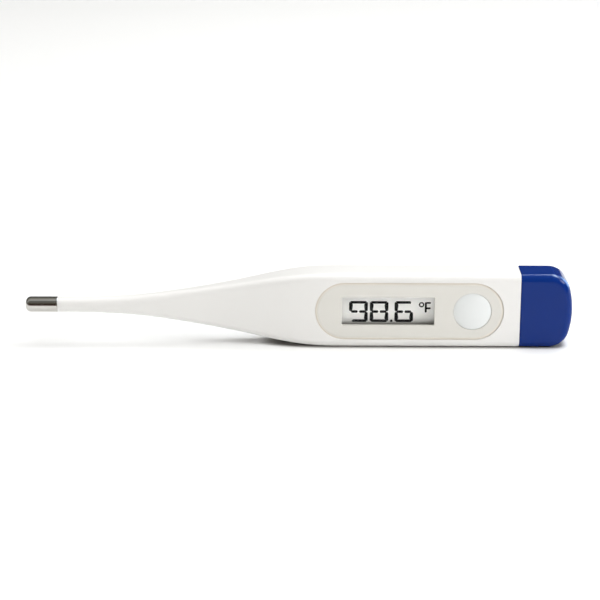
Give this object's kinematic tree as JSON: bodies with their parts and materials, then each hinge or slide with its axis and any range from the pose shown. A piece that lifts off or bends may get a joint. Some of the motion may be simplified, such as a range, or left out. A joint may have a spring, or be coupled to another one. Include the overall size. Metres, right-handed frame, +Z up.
{
  "type": "digital thermometer",
  "caption": "Rigid stick thermometer with a steel-tipped probe, segment display behind a window, round button, pull-off battery cap and slide-out inner tray.",
  "frame": {"origin": "middle of the footprint, on the lower long edge that the stick stands on", "axes": "+X along the stick from the steel tip to the battery cap, -Y out of the display face, +Z up across the width"},
  "size_m": [0.126, 0.01, 0.0175],
  "materials": {
    "white_abs": "semi-gloss moulded ABS, white",
    "stainless_steel": "drawn and polished stainless steel",
    "epoxy": "cured epoxy",
    "bead_coating": "dipped bead",
    "enamelled_copper": "enamelled copper wire",
    "panel_plastic": "fine satin, warm light grey",
    "clear_plastic": "clear polished plastic",
    "button_plastic": "semi-gloss, cool white",
    "tray_plastic": "satin moulded plastic",
    "board_laminate": "green solder mask on glass laminate",
    "black_epoxy": "glossy encapsulant",
    "chip_ceramic": "sintered ceramic with tinned ends",
    "black_plastic": "moulded nylon",
    "spring_steel": "stamped stainless spring",
    "red_plastic": "moulded plunger",
    "lcd_glass": "float glass",
    "polarizer_film": "polarizing film",
    "reflector_film": "silver-grey reflective film",
    "conductive_rubber": "layered silicone",
    "brass": "rolled brass",
    "piezo_ceramic": "silvered ceramic",
    "phosphor_bronze": "bent strip",
    "plated_spring_metal": "nickel-plated strip",
    "nickel_plate": "nickel-plated steel",
    "gasket_nylon": "nylon",
    "seal_rubber": "silicone",
    "blue_abs": "glossy moulded ABS, royal blue"
  },
  "bodies": {
    "housing": {"housing": "white_abs", "probe_tip": "stainless_steel", "tip_potting": "epoxy", "thermistor_bead": "bead_coating", "thermistor_leads": "enamelled_copper", "face_panel": "panel_plastic", "display_window": "clear_plastic"},
    "button": {"power_button": "button_plastic"},
    "tray": {"inner_tray": "tray_plastic", "circuit_board": "board_laminate", "chip_encapsulant": "black_epoxy", "chip_components": "chip_ceramic", "switch_base": "black_plastic", "switch_snap_dome": "spring_steel", "lcd_frame": "tray_plastic", "lcd_front_glass": "lcd_glass", "lcd_rear_glass": "lcd_glass", "lcd_front_polarizer": "polarizer_film", "lcd_rear_reflector": "reflector_film", "zebra_connector": "conductive_rubber", "buzzer_plate": "brass", "buzzer_ceramic": "piezo_ceramic", "buzzer_contacts": "phosphor_bronze", "positive_contact": "plated_spring_metal", "negative_contact": "plated_spring_metal"},
    "switch_plunger": {"switch_plunger": "red_plastic"},
    "cell": {"cell_can": "nickel_plate", "cell_gasket": "gasket_nylon", "cell_negative_cap": "nickel_plate"},
    "cap": {"cap_seal": "seal_rubber", "battery_cap": "blue_abs"}
  },
  "joints": [
    {"name": "button_press", "type": "slide", "parent": "housing", "child": "button", "axis": [0, 1, 0], "range_m": [0, 0.0003], "stiffness_N_per_m": 800, "deforming": ["switch_snap_dome"]},
    {"name": "tray_pull", "type": "slide", "parent": "housing", "child": "tray", "axis": [1, 0, 0], "range_m": [0, 0.01], "deforming": ["thermistor_leads"]},
    {"name": "switch_press", "type": "slide", "parent": "tray", "child": "switch_plunger", "axis": [0, 1, 0], "range_m": [0, 0.0003]},
    {"name": "cell_slide", "type": "slide", "parent": "tray", "child": "cell", "axis": [1, 0, 0], "range_m": [0, 0.009]},
    {"name": "cap_pull", "type": "slide", "parent": "cell", "child": "cap", "axis": [1, 0, 0], "range_m": [0, 0.015]}
  ],
  "couplings": [
    {"joint": "switch_press", "follows": "button_press", "ratio": 1}
  ]
}
